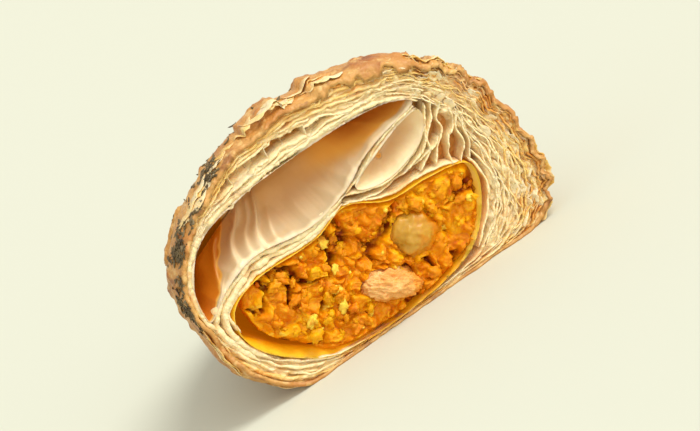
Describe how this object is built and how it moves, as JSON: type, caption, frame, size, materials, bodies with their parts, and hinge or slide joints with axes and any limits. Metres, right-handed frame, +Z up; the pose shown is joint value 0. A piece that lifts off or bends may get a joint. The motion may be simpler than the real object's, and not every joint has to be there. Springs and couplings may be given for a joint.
{
  "type": "cut half of a chicken puff",
  "caption": "Cut half of a flaky puff pastry turnover with an open air pocket above a crumbly spiced filling; rests flat on its base.",
  "frame": {"origin": "middle of the bounding box's bottom face, on the surface that the half rests on", "axes": "+Z up, -Y out of the cut face, +Y towards the closed corner, -X the folded side, +X the open layered edge"},
  "size_m": [0.074, 0.0658, 0.0502],
  "materials": {
    "baked_pastry": null,
    "masala_filling": null,
    "boiled_potato": null,
    "chicken_meat": null
  },
  "bodies": {
    "root": {"pastry": "baked_pastry", "filling": "masala_filling", "potato_piece": "boiled_potato", "chicken_piece": "chicken_meat"}
  },
  "joints": []
}
